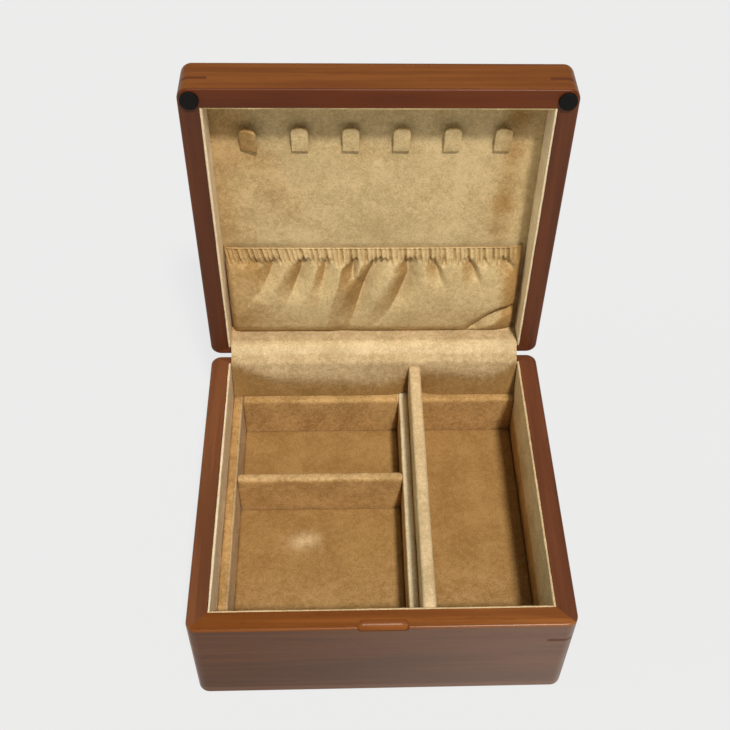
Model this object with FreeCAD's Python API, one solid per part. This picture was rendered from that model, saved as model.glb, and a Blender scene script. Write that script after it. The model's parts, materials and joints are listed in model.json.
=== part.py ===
import FreeCAD, Part
import math
import os

# A lidded wooden jewelry chest, shown with its lid open. Millimetres.
# X runs to the right, Y to the back and Z up. The origin lies under the middle of the base.

# Case
CASE_WIDTH = 200.0
CASE_DEPTH = 187.0
BASE_HEIGHT = 71.0
LID_HEIGHT = 26.5
WALL = 10.5
BACK_WALL = 5.2
BOTTOM_BOARD = 8.0
TOP_BOARD = 7.0
CORNER_RADIUS = 6.0
BOARD_EDGE_RADIUS = 4.0
RIM_EDGE_RADIUS = 1.2
SEAM_GAP = 1.7
OPEN_ANGLE = 91.0

# Keys let across the mitred corners
KEY_LEG = 14.5
KEY_THICKNESS = 2.5
BASE_KEY_BELOW_RIM = 15.7
LID_KEY_ABOVE_RIM = 10.2

# Finger notch in the front wall's upper edge
NOTCH_WIDTH = 26.4
NOTCH_REACH = 5.1
NOTCH_DEPTH = 3.0
NOTCH_CORNER = 3.6
NOTCH_COVE = 2.7

# Linings and partitions of the base, cloth over board
LINER = 1.3
LINER_SETBACK = 0.3
DIVIDER = 7.0
RIGHT_BAY = 60.3
DIVIDER_SETBACK = 0.6
FRAME = 5.7
REAR_FRAME = 9.4
FRAME_HEIGHT = 38.0
CROSS = 5.8
REAR_BAY = 64.1
FLOOR_PAD = 9.5
SOFT_EDGE = 1.4

# Lid lining, hooks and bumpers
LID_PANEL = 1.2
HOOK_COUNT = 6
HOOK_END_INSET = 20.8
HOOK_ROW_X = -0.8
HOOK_FOOT_FROM_FRONT = 48.5
HOOK_WIDTH = 9.0
HOOK_LENGTH = 16.6
HOOK_THICKNESS = 1.6
HOOK_LEAN = 3.3
HOOK_CORNER = 2.8
HOOK_SLOT_CLEARANCE = 0.1
BUMPER_DIAMETER = 9.5
BUMPER_THICKNESS = 1.6
BUMPER_INSET = 6.2
BUMPER_EDGE = 0.4

# Gathered pocket in the lid
CLOTH = 0.9
POCKET_HEIGHT = 63.3
POCKET_SEAM_GAP = 0.4
POCKET_SEAM_STANDOFF = 4.4
POCKET_BULGE_STANDOFF = 10.8
POCKET_BULGE_HEIGHT = 12.3
POCKET_HEM_STANDOFF = 1.7
POCKET_ROWS = 4
POCKET_SIDE_GAP = 0.4
POCKET_SIDE_RUN = 7.0
POCKET_SIDE_STANDOFF = 0.8
POCKET_FOLDS = 8
FOLD_DEPTH = 1.7
FOLD_DEPTH_AT_EDGES = 0.25
FOLD_LEAN = 9.0
FOLD_UNEVENNESS = 1.8
FOLD_UNEVENNESS_STEP = 2.4
ELASTIC_WIDTH = 6.0
ELASTIC_THICKNESS = 0.5
ELASTIC_BELOW_HEM = 1.0
ELASTIC_CLEARANCE = 0.1

# Hinges
HINGE_FROM_SIDE = 45.0
HINGE_LENGTH = 28.0
HINGE_SETOUT = 0.2
LEAF = 0.8
LEAF_FROM_INSIDE = 0.2
KNUCKLE_RADIUS = 1.6
KNUCKLE_CLEARANCE = 0.3
KNUCKLE_END_GAP = 0.15
PIN_RADIUS = 0.65
PIN_RUNNING_FIT = 0.04
PIN_TIGHT_FIT = 0.01
LEAF_CLEARANCE = 0.1
SCREW_RADIUS = 0.65
SCREW_LENGTH = 6.0
SCREW_FROM_INSIDE = 2.0
SCREW_SPACING = 16.0
SCREW_FIT = 0.03

# Cloth strip over the hinges
STRIP = 0.7
STRIP_GAP = 0.05
STRIP_SIDE_GAP = 0.6
STRIP_LID_REACH = 12.4
STRIP_LIP = 0.6
STRIP_BASE_RISE = 1.0
STRIP_EDGE_RADIUS = 1.8
STRIP_SAG = 1.4
STRIP_SAG_SHARE = 0.8
STRIP_ABOVE_LEDGE = 0.3
STRIP_LEAN = 2.6

# Places worked out from the sizes above
half_width = CASE_WIDTH / 2
half_depth = CASE_DEPTH / 2
inner_x = half_width - WALL
inner_y = half_depth - WALL
back_y = half_depth - BACK_WALL
clear_x = inner_x - LINER
clear_y = inner_y - LINER
clear_back = back_y - LINER
ledge_z = BOTTOM_BOARD + FRAME_HEIGHT
floor_z = BOTTOM_BOARD + FLOOR_PAD
liner_top = BASE_HEIGHT - LINER_SETBACK
divider_right = clear_x - RIGHT_BAY
divider_left = divider_right - DIVIDER
rim_z = BASE_HEIGHT + SEAM_GAP
lid_top_z = rim_z + LID_HEIGHT
lid_wall_top = lid_top_z - TOP_BOARD
panel_z = lid_wall_top - LID_PANEL
hinge_x = half_width - HINGE_FROM_SIDE
axis_y = half_depth + HINGE_SETOUT
axis_z = BASE_HEIGHT + SEAM_GAP / 2
SIDES = ("front", "back", "left", "right")
# How far a cutting tool reaches past the faces that it cuts
OVERCUT = 1.0


def vector(x, y, z):
    return FreeCAD.Vector(x, y, z)


def block(x0, x1, y0, y1, z0, z1):
    return Part.makeBox(x1 - x0, y1 - y0, z1 - z0, vector(x0, y0, z0))


def prism(points, direction):
    """A flat outline of points, pushed along a direction."""
    return Part.Face(Part.makePolygon(points + points[:1])).extrude(direction)


def rod(radius, x0, x1, y, z):
    """A round bar along X."""
    return Part.makeCylinder(radius, x1 - x0, vector(x0, y, z), vector(1, 0, 0))


def edges_at_height(shape, z):
    found = []
    for edge in shape.Edges:
        box = edge.BoundBox
        if abs(box.ZMin - z) < 1e-6 and abs(box.ZMax - z) < 1e-6:
            found.append(edge)
    return found


def upright_edges(shape):
    found = []
    for edge in shape.Edges:
        box = edge.BoundBox
        if box.XLength < 1e-6 and box.YLength < 1e-6:
            found.append(edge)
    return found


def case_block(z0, z1):
    """A slab of the case's outline, with rounded upright corners."""
    slab = block(-half_width, half_width, -half_depth, half_depth, z0, z1)
    return slab.makeFillet(CORNER_RADIUS, upright_edges(slab))


def eased_board(board, z, radius):
    """The board with its outline rounded over at height z."""
    return board.makeFillet(radius, edges_at_height(board, z))


def mitre_wedge(side, z0, z1):
    """The space of one wall, cut from the case's outer corners through its inner corners."""
    extra = OVERCUT / WALL
    far_x = half_width + WALL * extra
    near_x = inner_x - WALL * extra
    far_front = -half_depth - WALL * extra
    near_front = -inner_y + WALL * extra
    far_back = half_depth + BACK_WALL * extra
    near_back = back_y - BACK_WALL * extra
    outlines = {
        "front": ((-far_x, far_front), (far_x, far_front), (near_x, near_front), (-near_x, near_front)),
        "back": ((far_x, far_back), (-far_x, far_back), (-near_x, near_back), (near_x, near_back)),
        "left": ((-far_x, far_back), (-far_x, far_front), (-near_x, near_front), (-near_x, near_back)),
        "right": ((far_x, far_front), (far_x, far_back), (near_x, near_back), (near_x, near_front)),
    }
    points = [vector(x, y, z0) for x, y in outlines[side]]
    return prism(points, vector(0, 0, z1 - z0))


def inner_well(z0, z1):
    """The room between the four walls."""
    return block(-inner_x, inner_x, -inner_y, back_y, z0 - OVERCUT, z1 + OVERCUT)


def mitre_keys(z_middle, z0, z1):
    """A triangular key across each corner, trimmed flush with the walls."""
    walls = case_block(z0, z1).cut(inner_well(z0, z1))
    keys = []
    for sign_x in (-1, 1):
        for sign_y in (-1, 1):
            x = sign_x * half_width
            y = sign_y * half_depth
            z = z_middle - KEY_THICKNESS / 2
            corner = vector(x, y, z)
            along_x = vector(x - sign_x * KEY_LEG, y, z)
            along_y = vector(x, y - sign_y * KEY_LEG, z)
            key = prism([corner, along_x, along_y], vector(0, 0, KEY_THICKNESS))
            keys.append(key.common(walls))
    return Part.makeCompound(keys)


def wall_ring(z0, z1, rim, keys):
    """The four walls in one ring, eased along the rim and slotted for the mitre keys."""
    ring = eased_board(case_block(z0, z1), rim, RIM_EDGE_RADIUS)
    return ring.cut(inner_well(z0, z1)).cut(keys)


def mitred_walls(name, ring, z0, z1):
    return {f"{name}_{side}_wall": ring.common(mitre_wedge(side, z0, z1)) for side in SIDES}


def finger_notch():
    """The scoop that a fingertip reaches into under the lid."""
    back = -half_depth + NOTCH_REACH
    front = -half_depth - NOTCH_CORNER
    bottom = BASE_HEIGHT - NOTCH_DEPTH
    scoop = block(-NOTCH_WIDTH / 2, NOTCH_WIDTH / 2, front, back, bottom, BASE_HEIGHT + OVERCUT)
    back_corners = [edge for edge in upright_edges(scoop) if edge.BoundBox.YMin > -half_depth]
    scoop = scoop.makeFillet(NOTCH_CORNER, back_corners)
    coved = [edge for edge in edges_at_height(scoop, bottom) if edge.BoundBox.YMax > -half_depth]
    return scoop.makeFillet(NOTCH_COVE, coved)


def hinge_span(sign):
    middle = sign * hinge_x
    return middle - HINGE_LENGTH / 2, middle + HINGE_LENGTH / 2


def knuckle_span(sign):
    """The middle third of a hinge, which the lid's knuckle fills."""
    middle = sign * hinge_x
    return middle - HINGE_LENGTH / 6, middle + HINGE_LENGTH / 6


def screw_places(sign):
    y = back_y + SCREW_FROM_INSIDE
    return [(sign * hinge_x + step * SCREW_SPACING / 2, y) for step in (-1, 1)]


def screw(x, y, z, up, growth):
    """A countersunk screw with its head flush at height z, pointing up (1) or down (-1)."""
    radius = SCREW_RADIUS + growth
    way = vector(0, 0, up)
    head = Part.makeCone(radius + LEAF, radius, LEAF, vector(x, y, z), way)
    shank = Part.makeCylinder(radius, SCREW_LENGTH + growth, vector(x, y, z), way)
    return head.fuse(shank)


def hinge_mortise(sign, z_rim, into_wall):
    """Room in a back wall for one leaf, the knuckles and the screws."""
    x0, x1 = hinge_span(sign)
    z_leaf = z_rim + into_wall * LEAF
    z_out = z_rim - into_wall * OVERCUT
    y0 = back_y - OVERCUT
    y1 = half_depth + OVERCUT
    gap = LEAF_CLEARANCE
    room = block(x0 - gap, x1 + gap, y0, y1, min(z_leaf, z_out), max(z_leaf, z_out))
    room = room.fuse(rod(KNUCKLE_RADIUS + KNUCKLE_CLEARANCE, x0 - gap, x1 + gap, axis_y, axis_z))
    for x, y in screw_places(sign):
        room = room.fuse(screw(x, y, z_rim, into_wall, SCREW_FIT))
    return room


def hinge_leaf(sign, z_rim, into_wall, has_middle):
    """One leaf with its knuckles, countersunk for its screws and bored for the pin."""
    x0, x1 = hinge_span(sign)
    m0, m1 = knuckle_span(sign)
    gap = KNUCKLE_END_GAP
    z_back = z_rim + into_wall * LEAF
    y0 = back_y + LEAF_FROM_INSIDE
    plate = block(x0, x1, y0, axis_y, min(z_rim, z_back), max(z_rim, z_back))
    own = [(m0, m1)] if has_middle else [(x0, m0 - gap), (m1 + gap, x1)]
    other = [(x0, m0), (m1, x1)] if has_middle else [(m0 - gap, m1 + gap)]
    for a, b in own:
        plate = plate.fuse(rod(KNUCKLE_RADIUS, a, b, axis_y, axis_z))
    for a, b in other:
        plate = plate.cut(rod(KNUCKLE_RADIUS + KNUCKLE_CLEARANCE, a, b, axis_y, axis_z))
    fit = PIN_RUNNING_FIT if has_middle else PIN_TIGHT_FIT
    plate = plate.cut(rod(PIN_RADIUS + fit, x0 - OVERCUT, x1 + OVERCUT, axis_y, axis_z))
    for x, y in screw_places(sign):
        plate = plate.cut(screw(x, y, z_rim, into_wall, SCREW_FIT))
    return plate.removeSplitter()


def hinge_screws(z_rim, into_wall):
    places = screw_places(-1) + screw_places(1)
    return Part.makeCompound([screw(x, y, z_rim, into_wall, 0.0) for x, y in places])


def soft_topped(board, z, along):
    """A cloth-covered board with its two long upper edges rounded."""
    long_edges = []
    for edge in edges_at_height(board, z):
        length = edge.BoundBox.XLength if along == "x" else edge.BoundBox.YLength
        if length > 1e-6:
            long_edges.append(edge)
    return board.makeFillet(SOFT_EDGE, long_edges)


def wall_liners(name, z0, z1):
    """Thin lining boards on the four inner wall faces."""
    return {
        f"{name}_liner_left": block(-inner_x, -clear_x, -inner_y, back_y, z0, z1),
        f"{name}_liner_right": block(clear_x, inner_x, -inner_y, back_y, z0, z1),
        f"{name}_liner_front": block(-clear_x, clear_x, -inner_y, -clear_y, z0, z1),
        f"{name}_liner_back": block(-clear_x, clear_x, clear_back, back_y, z0, z1),
    }


def bay_frame(name, x0, x1, has_sides):
    """The lower boards round one bay, whose tops make its ledge. A bay can go without its side boards."""
    z0 = BOTTOM_BOARD
    z1 = ledge_z
    side = FRAME if has_sides else 0.0
    front = block(x0 + side, x1 - side, -clear_y, -clear_y + FRAME, z0, z1)
    back = block(x0 + side, x1 - side, clear_back - REAR_FRAME, clear_back, z0, z1)
    boards = {
        f"{name}_frame_front": soft_topped(front, z1, "x"),
        f"{name}_frame_back": soft_topped(back, z1, "x"),
    }
    if has_sides:
        left = block(x0, x0 + side, -clear_y, clear_back, z0, z1)
        right = block(x1 - side, x1, -clear_y, clear_back, z0, z1)
        boards[f"{name}_frame_left"] = soft_topped(left, z1, "y")
        boards[f"{name}_frame_right"] = soft_topped(right, z1, "y")
    return boards


def floor_pad(x0, x1, y0, y1):
    pad = block(x0, x1, y0, y1, BOTTOM_BOARD, floor_z)
    return pad.makeFillet(SOFT_EDGE, edges_at_height(pad, floor_z))


def strip_centre(z):
    """How far back the middle of the strip's thickness lies in the base, at a height."""
    top = BASE_HEIGHT + STRIP_BASE_RISE
    foot = ledge_z + STRIP_ABOVE_LEDGE
    return clear_back - STRIP / 2 - STRIP_GAP - STRIP_LEAN * (top - z) / (top - foot)


def main_divider():
    """The tall partition, its rear end cut back to leave room for the leaning strip."""
    top = BASE_HEIGHT - DIVIDER_SETBACK
    room = STRIP + STRIP_GAP
    side = [
        vector(divider_left, -clear_y, BOTTOM_BOARD),
        vector(divider_left, clear_back, BOTTOM_BOARD),
        vector(divider_left, clear_back, ledge_z),
        vector(divider_left, strip_centre(ledge_z) - room, ledge_z),
        vector(divider_left, strip_centre(top) - room, top),
        vector(divider_left, -clear_y, top),
    ]
    return soft_topped(prism(side, vector(DIVIDER, 0, 0)), top, "y")


def partitions():
    """The main divider, the cross divider and the floors between the frames."""
    left_x0 = -clear_x + FRAME
    left_x1 = divider_left - FRAME
    y0 = -clear_y + FRAME
    y1 = clear_back - REAR_FRAME
    cross_back = clear_back - REAR_BAY
    cross_front = cross_back - CROSS
    cross = block(left_x0, left_x1, cross_front, cross_back, BOTTOM_BOARD, ledge_z)
    return {
        "main_divider": main_divider(),
        "cross_divider": soft_topped(cross, ledge_z, "x"),
        "floor_pad_left_rear": floor_pad(left_x0, left_x1, cross_back, y1),
        "floor_pad_left_front": floor_pad(left_x0, left_x1, y0, cross_front),
        "floor_pad_right": floor_pad(divider_right, clear_x, y0, y1),
    }


def hook_places():
    reach = clear_x - HOOK_END_INSET
    pitch = 2 * reach / (HOOK_COUNT - 1)
    return [HOOK_ROW_X - reach + pitch * index for index in range(HOOK_COUNT)]


def necklace_hook(x):
    """A leaning tab with cut corners, its foot let into the lid's panel."""
    x0 = x - HOOK_WIDTH / 2
    x1 = x + HOOK_WIDTH / 2
    foot = -half_depth + HOOK_FOOT_FROM_FRONT
    tip = foot - HOOK_LENGTH
    side = [
        vector(x0, foot, lid_wall_top),
        vector(x0, foot - HOOK_THICKNESS, lid_wall_top),
        vector(x0, foot - HOOK_THICKNESS, panel_z),
        vector(x0, tip, panel_z - HOOK_LEAN),
        vector(x0, tip, panel_z - HOOK_LEAN - HOOK_THICKNESS),
        vector(x0, foot, panel_z - HOOK_THICKNESS),
    ]
    tab = prism(side, vector(HOOK_WIDTH, 0, 0))
    low = panel_z - HOOK_LEAN - HOOK_THICKNESS - OVERCUT
    front_outline = [
        vector(x0, foot + OVERCUT, low),
        vector(x1, foot + OVERCUT, low),
        vector(x1, tip + HOOK_CORNER, low),
        vector(x1 - HOOK_CORNER, tip, low),
        vector(x0 + HOOK_CORNER, tip, low),
        vector(x0, tip + HOOK_CORNER, low),
    ]
    return tab.common(prism(front_outline, vector(0, 0, lid_wall_top - low + OVERCUT)))


def lid_panel():
    """The lining panel under the lid's top board, slotted for the hooks' feet."""
    panel = block(-inner_x, inner_x, -inner_y, back_y, panel_z, lid_wall_top)
    foot = -half_depth + HOOK_FOOT_FROM_FRONT
    gap = HOOK_SLOT_CLEARANCE
    for x in hook_places():
        x0 = x - HOOK_WIDTH / 2 - gap
        x1 = x + HOOK_WIDTH / 2 + gap
        y0 = foot - HOOK_THICKNESS - gap
        panel = panel.cut(block(x0, x1, y0, foot + gap, panel_z - OVERCUT, lid_wall_top + OVERCUT))
    return panel


def bumper(sign):
    """A rubber dot on a front corner of the lid's rim."""
    x = sign * (half_width - BUMPER_INSET)
    y = -half_depth + BUMPER_INSET
    face = rim_z - BUMPER_THICKNESS
    dot = Part.makeCylinder(BUMPER_DIAMETER / 2, BUMPER_THICKNESS, vector(x, y, face))
    return dot.makeFillet(BUMPER_EDGE, edges_at_height(dot, face))


def pocket_standoff(height):
    """How far the pocket stands out from the panel: a belly near the seam, drawn in to the hem."""
    if height < POCKET_BULGE_HEIGHT:
        rise = math.sin(math.pi / 2 * height / POCKET_BULGE_HEIGHT)
        return POCKET_SEAM_STANDOFF + (POCKET_BULGE_STANDOFF - POCKET_SEAM_STANDOFF) * rise
    share = (height - POCKET_BULGE_HEIGHT) / (POCKET_HEIGHT - POCKET_BULGE_HEIGHT)
    fall = math.cos(math.pi / 2 * share)
    return POCKET_HEM_STANDOFF + (POCKET_BULGE_STANDOFF - POCKET_HEM_STANDOFF) * fall


def pocket_row(height):
    """A closed outline across the pocket: leaning folds of alternate arcs, with the sides drawn back."""
    y = clear_back - POCKET_SEAM_GAP - height
    outer = clear_x - POCKET_SIDE_GAP
    inner = outer - POCKET_SIDE_RUN
    standoff = pocket_standoff(height)
    share = height / POCKET_HEIGHT
    swell = FOLD_DEPTH_AT_EDGES + FOLD_DEPTH * math.sin(math.pi * share)
    arcs = 2 * POCKET_FOLDS
    breaks = [(-outer, POCKET_SIDE_STANDOFF)]
    for index in range(arcs + 1):
        free = math.sin(math.pi * index / arcs)
        lean = FOLD_LEAN * (share - 0.5)
        unevenness = FOLD_UNEVENNESS * math.sin(FOLD_UNEVENNESS_STEP * index)
        breaks.append((-inner + 2 * inner * index / arcs + free * (lean + unevenness), standoff))
    breaks.append((outer, POCKET_SIDE_STANDOFF))

    def surface(depth_offset):
        edges = []
        for index in range(len(breaks) - 1):
            (xa, wa), (xb, wb) = breaks[index], breaks[index + 1]
            bulge = swell if index % 2 else -swell
            if index in (0, len(breaks) - 2):
                bulge = FOLD_DEPTH_AT_EDGES
            start = vector(xa, y, panel_z - wa - depth_offset)
            middle = vector((xa + xb) / 2, y, panel_z - (wa + wb) / 2 - bulge - depth_offset)
            end = vector(xb, y, panel_z - wb - depth_offset)
            edges.append(Part.Arc(start, middle, end).toShape())
        return edges

    back = surface(-CLOTH / 2)
    front = surface(CLOTH / 2)
    left = Part.LineSegment(front[0].Vertexes[0].Point, back[0].Vertexes[0].Point).toShape()
    right = Part.LineSegment(back[-1].Vertexes[-1].Point, front[-1].Vertexes[-1].Point).toShape()
    return Part.Wire(back + [right] + front[::-1] + [left])


def pocket_cloth():
    heights = [0.0]
    for index in range(POCKET_ROWS):
        rise = (POCKET_HEIGHT - POCKET_BULGE_HEIGHT) * index / (POCKET_ROWS - 1)
        heights.append(POCKET_BULGE_HEIGHT + rise)
    return Part.makeLoft([pocket_row(height) for height in heights], True, False)


def pocket_elastic():
    """A flat band behind the pocket's hem."""
    hem_y = clear_back - POCKET_SEAM_GAP - POCKET_HEIGHT
    y0 = hem_y + ELASTIC_BELOW_HEM
    half = clear_x - POCKET_SIDE_GAP - POCKET_SIDE_RUN
    top = panel_z - ELASTIC_CLEARANCE
    return block(-half, half, y0, y0 + ELASTIC_WIDTH, top - ELASTIC_THICKNESS, top)


def opened(shape):
    """A lid piece, drawn shut, swung open about the hinge pins."""
    swung = shape.copy()
    swung.rotate(vector(0, axis_y, axis_z), vector(1, 0, 0), -OPEN_ANGLE)
    return swung


def opened_point(y, z):
    """A point of the shut lid in the YZ plane, swung open with it."""
    turn = math.radians(OPEN_ANGLE)
    dy = y - axis_y
    dz = z - axis_z
    opened_y = axis_y + dy * math.cos(turn) + dz * math.sin(turn)
    opened_z = axis_z - dy * math.sin(turn) + dz * math.cos(turn)
    return opened_y, opened_z


def turn_between(a, b, c):
    """The signed turn at b on the way from a to c, in radians."""
    before = math.atan2(b[1] - a[1], b[0] - a[0])
    after = math.atan2(c[1] - b[1], c[0] - b[0])
    return math.remainder(after - before, 2 * math.pi)


def shifted_points(points, distance):
    """The corners of a path moved sideways, to its left, by a distance."""
    moved = []
    for index, (y, z) in enumerate(points):
        before = points[max(index - 1, 0)]
        after = points[min(index + 1, len(points) - 1)]
        at = points[index]
        first = math.atan2(at[1] - before[1], at[0] - before[0]) if index else None
        last = math.atan2(after[1] - at[1], after[0] - at[0]) if index < len(points) - 1 else None
        first = last if first is None else first
        last = first if last is None else last
        half = math.remainder(last - first, 2 * math.pi) / 2
        normal = first + half + math.pi / 2
        reach = distance / math.cos(half)
        moved.append((y + reach * math.cos(normal), z + reach * math.sin(normal)))
    return moved


def rounded_path(points, radii, x):
    """Straight runs through the points, joined by tangent arcs of the given radii."""
    edges = []
    start = points[0]
    for index in range(1, len(points) - 1):
        a, b, c = points[index - 1], points[index], points[index + 1]
        turn = turn_between(a, b, c)
        radius = radii[index - 1]
        before = math.atan2(b[1] - a[1], b[0] - a[0])
        after = before + turn
        tangent = radius * math.tan(abs(turn) / 2)
        arc_start = (b[0] - tangent * math.cos(before), b[1] - tangent * math.sin(before))
        arc_end = (b[0] + tangent * math.cos(after), b[1] + tangent * math.sin(after))
        to_middle = radius / math.cos(turn / 2) - radius
        inward = before + turn / 2 + math.copysign(math.pi / 2, turn)
        middle = (b[0] + to_middle * math.cos(inward), b[1] + to_middle * math.sin(inward))
        edges.append(Part.LineSegment(vector(x, *start), vector(x, *arc_start)).toShape())
        edges.append(Part.Arc(vector(x, *arc_start), vector(x, *middle), vector(x, *arc_end)).toShape())
        start = arc_end
    edges.append(Part.LineSegment(vector(x, *start), vector(x, *points[-1])).toShape())
    return edges


def cover_strip():
    """Cloth from the lid's rear lining, over the hinges, and down the base's rear lining."""
    top = BASE_HEIGHT + STRIP_BASE_RISE
    foot = ledge_z + STRIP_ABOVE_LEDGE
    face = strip_centre(top)
    lid_end = opened_point(face, rim_z + STRIP_LID_REACH)
    lid_edge = opened_point(face, rim_z - STRIP_LIP)
    base_edge = (face, top)
    base_end = (strip_centre(foot), foot)
    run_y = base_edge[0] - lid_edge[0]
    run_z = base_edge[1] - lid_edge[1]
    span = math.hypot(run_y, run_z)
    hollow_y = lid_edge[0] + run_y / 2 - run_z / span * STRIP_SAG
    hollow_z = lid_edge[1] + run_z / 2 + run_y / span * STRIP_SAG
    hollow = (hollow_y, hollow_z)
    points = [lid_end, lid_edge, hollow, base_edge, base_end]
    sag_turn = turn_between(lid_edge, hollow, base_edge)
    shorter_run = min(math.dist(lid_edge, hollow), math.dist(hollow, base_edge))
    sag_radius = STRIP_SAG_SHARE * shorter_run / math.tan(abs(sag_turn) / 2)
    radii = [STRIP_EDGE_RADIUS, sag_radius, STRIP_EDGE_RADIUS]
    x0 = -clear_x + STRIP_SIDE_GAP
    sides = []
    for offset in (STRIP / 2, -STRIP / 2):
        bent = []
        for index, radius in enumerate(radii):
            turn = turn_between(*points[index:index + 3])
            bent.append(radius - math.copysign(1, turn) * offset)
        sides.append(rounded_path(shifted_points(points, offset), bent, x0))
    first, second = sides
    near_end = Part.LineSegment(second[0].Vertexes[0].Point, first[0].Vertexes[0].Point).toShape()
    far_end = Part.LineSegment(first[-1].Vertexes[-1].Point, second[-1].Vertexes[-1].Point).toShape()
    outline = Part.Wire(first + [far_end] + second[::-1] + [near_end])
    return Part.Face(outline).extrude(vector(2 * (clear_x - STRIP_SIDE_GAP), 0, 0))


def base_pieces():
    keys = mitre_keys(BASE_HEIGHT - BASE_KEY_BELOW_RIM, BOTTOM_BOARD, BASE_HEIGHT)
    ring = wall_ring(BOTTOM_BOARD, BASE_HEIGHT, BASE_HEIGHT, keys)
    walls = mitred_walls("base", ring, BOTTOM_BOARD, BASE_HEIGHT)
    walls["base_front_wall"] = walls["base_front_wall"].cut(finger_notch())
    for sign in (-1, 1):
        walls["base_back_wall"] = walls["base_back_wall"].cut(hinge_mortise(sign, BASE_HEIGHT, -1))
    bottom_board = case_block(0, BOTTOM_BOARD)
    pieces = {"base_bottom_board": eased_board(bottom_board, 0, BOARD_EDGE_RADIUS)}
    pieces.update(walls)
    pieces["base_mitre_keys"] = keys
    pieces.update(wall_liners("base", BOTTOM_BOARD, liner_top))
    pieces.update(partitions())
    pieces.update(bay_frame("left", -clear_x, divider_left, True))
    pieces.update(bay_frame("right", divider_right, clear_x, False))
    for side, sign in (("left", -1), ("right", 1)):
        pieces[f"hinge_base_leaf_{side}"] = hinge_leaf(sign, BASE_HEIGHT, -1, False)
        pieces[f"hinge_pin_{side}"] = rod(PIN_RADIUS, *hinge_span(sign), axis_y, axis_z)
    pieces["hinge_base_screws"] = hinge_screws(BASE_HEIGHT, -1)
    pieces["hinge_cover_strip"] = cover_strip()
    return pieces


def lid_pieces():
    keys = mitre_keys(rim_z + LID_KEY_ABOVE_RIM, rim_z, lid_wall_top)
    ring = wall_ring(rim_z, lid_wall_top, rim_z, keys)
    walls = mitred_walls("lid", ring, rim_z, lid_wall_top)
    for sign in (-1, 1):
        walls["lid_back_wall"] = walls["lid_back_wall"].cut(hinge_mortise(sign, rim_z, 1))
    top_board = case_block(lid_wall_top, lid_top_z)
    pieces = {"lid_top_board": eased_board(top_board, lid_top_z, BOARD_EDGE_RADIUS)}
    pieces.update(walls)
    pieces["lid_mitre_keys"] = keys
    pieces["lid_liner_panel"] = lid_panel()
    pieces.update(wall_liners("lid", rim_z + LINER_SETBACK, panel_z))
    for number, x in enumerate(hook_places(), start=1):
        pieces[f"necklace_hook_{number}"] = necklace_hook(x)
    pieces["pocket_cloth"] = pocket_cloth()
    pieces["pocket_elastic"] = pocket_elastic()
    for side, sign in (("left", -1), ("right", 1)):
        pieces[f"bumper_{side}"] = bumper(sign)
        pieces[f"hinge_lid_leaf_{side}"] = hinge_leaf(sign, rim_z, 1, True)
    pieces["hinge_lid_screws"] = hinge_screws(rim_z, 1)
    return {name: opened(shape) for name, shape in pieces.items()}


def main():
    os.makedirs("parts", exist_ok=True)
    for name, shape in {**base_pieces(), **lid_pieces()}.items():
        shape.exportStep(f"parts/{name}.step")


main()
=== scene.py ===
import json
import math

import bmesh
import bpy
import numpy as np
from mathutils import Matrix, Vector


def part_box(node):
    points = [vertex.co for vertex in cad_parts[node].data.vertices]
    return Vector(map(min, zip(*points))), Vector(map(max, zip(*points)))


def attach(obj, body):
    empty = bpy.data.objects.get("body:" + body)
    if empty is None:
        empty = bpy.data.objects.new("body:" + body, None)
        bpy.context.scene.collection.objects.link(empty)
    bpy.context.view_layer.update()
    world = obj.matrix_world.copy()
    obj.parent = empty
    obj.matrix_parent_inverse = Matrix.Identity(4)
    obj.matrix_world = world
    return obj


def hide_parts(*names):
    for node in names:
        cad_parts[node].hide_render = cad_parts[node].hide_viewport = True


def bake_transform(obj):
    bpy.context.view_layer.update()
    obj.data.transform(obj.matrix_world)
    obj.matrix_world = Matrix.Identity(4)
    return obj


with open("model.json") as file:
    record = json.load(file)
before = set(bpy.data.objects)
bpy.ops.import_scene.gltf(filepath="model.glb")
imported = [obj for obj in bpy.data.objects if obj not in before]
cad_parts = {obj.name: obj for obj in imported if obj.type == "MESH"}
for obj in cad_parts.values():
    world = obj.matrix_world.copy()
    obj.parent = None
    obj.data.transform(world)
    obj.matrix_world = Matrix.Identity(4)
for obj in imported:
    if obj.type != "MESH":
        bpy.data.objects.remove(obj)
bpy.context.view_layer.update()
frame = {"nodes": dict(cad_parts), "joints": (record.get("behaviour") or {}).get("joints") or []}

MM = 0.001

# The hinge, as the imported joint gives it
HINGE = frame["joints"][0]
AXIS_Y = HINGE["pos_m"][1]
AXIS_Z = HINGE["pos_m"][2]
OPEN_ANGLE = math.radians(HINGE["range_deg"][1])

# The photograph's view: a square picture, its camera and the small shift of its frame
LENS = 53.10
SENSOR = 36.0
CAMERA_NEAR = 0.01
CAMERA_PLACE = (-18.4 * MM, -356.44 * MM, 562.76 * MM)
CAMERA_PITCH = 0.8529
CAMERA_YAW = 0.0618
CAMERA_ROLL = 0.0383
CAMERA_SHIFT = (-0.0326, 0.0219)

# Light: a lamp from above, in front and a little to the right, a weak and wide one from the left, and an
# even surround. The floor mostly glows, so that only a faint shadow shows on it.
LAMP_TRAVEL = (-0.15, 0.49, -0.86)
LAMP_STRENGTH = 3.2
LAMP_SPREAD = math.radians(6)
LAMP_COLOUR = (1.0, 0.96, 0.90)
FILL_TRAVEL = (0.86, 0.15, -0.43)
FILL_STRENGTH = 0.60
FILL_SPREAD = math.radians(30)
FILL_COLOUR = (0.80, 1.0, 0.86)
SURROUND = 0.19
SURROUND_COLOUR = (0.86, 1.0, 1.02)
BACKGROUND = 0.83
BACKGROUND_GLOW = 0.92
FLOOR_SIZE = 8.0

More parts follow.
